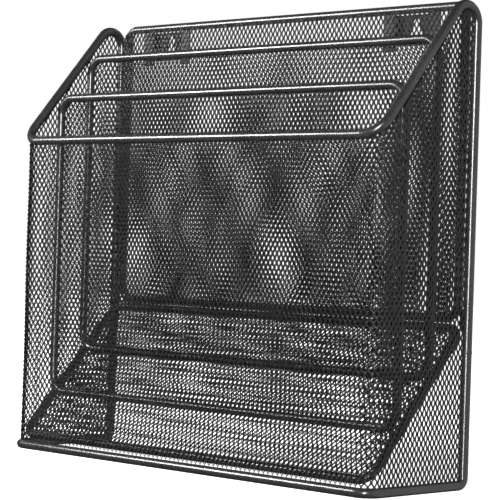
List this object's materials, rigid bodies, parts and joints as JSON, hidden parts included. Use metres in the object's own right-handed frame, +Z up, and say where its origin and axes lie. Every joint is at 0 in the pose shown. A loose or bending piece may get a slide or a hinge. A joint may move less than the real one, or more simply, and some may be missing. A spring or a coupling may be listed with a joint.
{
  "type": "magazine file holder",
  "caption": "Tiered mesh file holder of bent wire with a sloped floor, upright dividers and keyhole hanger brackets; stands or hangs on a wall.",
  "frame": {"origin": "middle of the footprint on the surface the base wire stands on", "axes": "+Z up; +X across the width, to the right seen from the front; the front faces -Y; the rear legs and the hanger plates are at +Y"},
  "size_m": [0.33, 0.0914, 0.2953],
  "materials": {
    "black_powder_coat_wire": "satin black powder coat on round steel wire",
    "black_powder_coat_mesh": "satin black powder coat on expanded steel sheet",
    "black_powder_coat_bracket": "satin black powder coat on pressed steel sheet",
    "black_powder_coat_weld": "satin black powder coat over weld metal"
  },
  "bodies": {
    "root": {"upper_rim_wire": "black_powder_coat_wire", "base_wire": "black_powder_coat_wire", "butt_weld_left": "black_powder_coat_weld", "butt_weld_right": "black_powder_coat_weld", "wrap_mesh": "black_powder_coat_mesh", "floor_frame_wire": "black_powder_coat_wire", "floor_mesh": "black_powder_coat_mesh", "front_divider_frame": "black_powder_coat_wire", "front_divider_mesh": "black_powder_coat_mesh", "rear_divider_frame": "black_powder_coat_wire", "rear_divider_mesh": "black_powder_coat_mesh", "back_frame_wire": "black_powder_coat_wire", "back_mesh": "black_powder_coat_mesh", "hanger_bracket_left": "black_powder_coat_bracket", "hanger_bracket_right": "black_powder_coat_bracket", "weld_bead_left": "black_powder_coat_weld", "weld_bead_right": "black_powder_coat_weld"}
  },
  "joints": []
}
